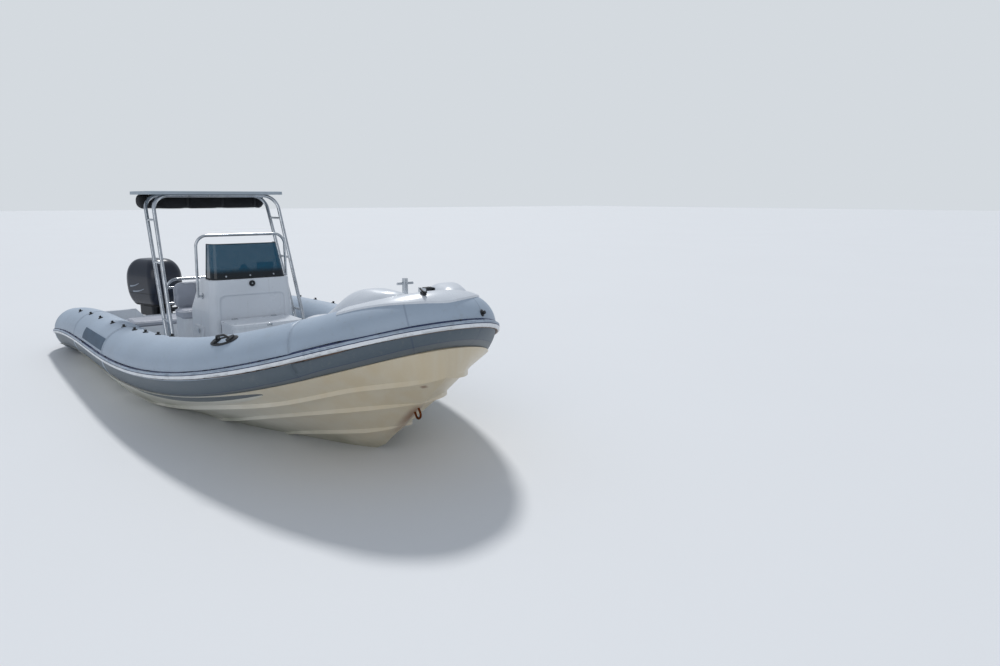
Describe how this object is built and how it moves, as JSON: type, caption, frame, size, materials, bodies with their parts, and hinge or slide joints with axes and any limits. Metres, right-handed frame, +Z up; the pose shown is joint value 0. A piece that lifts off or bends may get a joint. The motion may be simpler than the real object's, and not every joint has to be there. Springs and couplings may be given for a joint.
{
  "type": "rigid inflatable boat",
  "caption": "Rigid inflatable boat with a deep V hull, grey tube collar, centre console, top frame with canopy and an outboard motor.",
  "frame": {"origin": "on the centreline amidships, at the waterline", "axes": "+X forward to the bow, +Y to port, +Z up"},
  "size_m": [7.5715, 2.7942, 2.7306],
  "materials": {
    "tube_fabric": "light grey coated fabric, satin",
    "hull_gelcoat": "cream white glass fibre gelcoat, stained at the stem",
    "console_gelcoat": "white glass fibre gelcoat",
    "strake_rubber": "white rubber band with navy lines",
    "screen_tint": "tinted clear sheet",
    "stainless": "polished stainless steel",
    "cushion_vinyl": "grey blue padded vinyl",
    "canvas": "black canvas",
    "motor_paint": "gloss black blue paint",
    "motor_leg_paint": "satin black paint",
    "motor_block": "plain block",
    "propeller_steel": "cast stainless steel",
    "dark_plastic": "dark moulded plastic",
    "roller_plastic": "moulded roller"
  },
  "bodies": {
    "boat": {"collar_aft_port": "tube_fabric", "collar_aft_starboard": "tube_fabric", "collar_side_port": "tube_fabric", "collar_side_starboard": "tube_fabric", "collar_bow": "tube_fabric", "hull": "hull_gelcoat", "transom": "hull_gelcoat", "rub_strake": "strake_rubber", "console": "console_gelcoat", "windscreen": "screen_tint", "console_hoop": "stainless", "fore_locker": "console_gelcoat", "helm_seat_base": "console_gelcoat", "helm_seat_cushion": "cushion_vinyl", "helm_backrest": "cushion_vinyl", "helm_seat_frame": "stainless", "stern_bench": "console_gelcoat", "stern_bench_cushion": "cushion_vinyl", "top_legs_port": "stainless", "top_legs_starboard": "stainless", "top_ring": "stainless", "canopy": "canvas", "bow_deck": "console_gelcoat", "bow_roller_bracket": "stainless", "bow_post": "stainless", "bow_eye": "stainless", "stern_eyes": "stainless", "grab_handles": "dark_plastic", "tow_rings": "dark_plastic", "dash": "dark_plastic", "throttle": "dark_plastic", "motor_clamp": "motor_leg_paint", "helm_column": "dark_plastic"},
    "motor_swivel_body": {"motor_swivel": "motor_leg_paint"},
    "motor_body": {"motor_midsection": "motor_leg_paint", "motor_cowl": "motor_paint", "motor_powerhead": "motor_block", "motor_gearcase": "motor_leg_paint"},
    "propeller_body": {"propeller": "propeller_steel"},
    "wheel_body": {"steering_wheel": "dark_plastic"},
    "fore_lid_body": {"fore_locker_lid": "console_gelcoat"},
    "bow_lid_body": {"bow_locker_lid": "console_gelcoat"},
    "roller_body": {"bow_roller": "roller_plastic"}
  },
  "joints": [
    {"name": "motor_tilt", "type": "hinge", "parent": "boat", "child": "motor_swivel_body", "pos_m": [-3.27, 0, 0.385], "axis": [0, 1, 0], "range_deg": [0, 62]},
    {"name": "motor_steer", "type": "hinge", "parent": "motor_swivel_body", "child": "motor_body", "pos_m": [-3.345, 0, 0.2], "axis": [0, 0, 1], "range_deg": [-55, 15]},
    {"name": "propeller_spin", "type": "hinge", "parent": "motor_body", "child": "propeller_body", "pos_m": [-3.345, 0, -0.545], "axis": [0.9397, 0.342, 0], "continuous": true},
    {"name": "wheel_turn", "type": "hinge", "parent": "boat", "child": "wheel_body", "pos_m": [-0.61369, 0, 0.9539], "axis": [-0.778, 0, 0.6282], "range_deg": [-300, 1100]},
    {"name": "fore_lid_hinge", "type": "hinge", "parent": "boat", "child": "fore_lid_body", "pos_m": [0.0163, 0, 0.69], "axis": [0, -1, 0], "range_deg": [0, 85]},
    {"name": "bow_lid_hinge", "type": "hinge", "parent": "boat", "child": "bow_lid_body", "pos_m": [2.43567, 0, 0.95831], "axis": [0, -1, 0], "range_deg": [0, 80]},
    {"name": "roller_spin", "type": "hinge", "parent": "boat", "child": "roller_body", "pos_m": [3.3, 0, 1.2843], "axis": [0, 1, 0], "continuous": true}
  ],
  "couplings": [
    {"joint": "wheel_turn", "follows": "motor_steer", "ratio": -20}
  ]
}
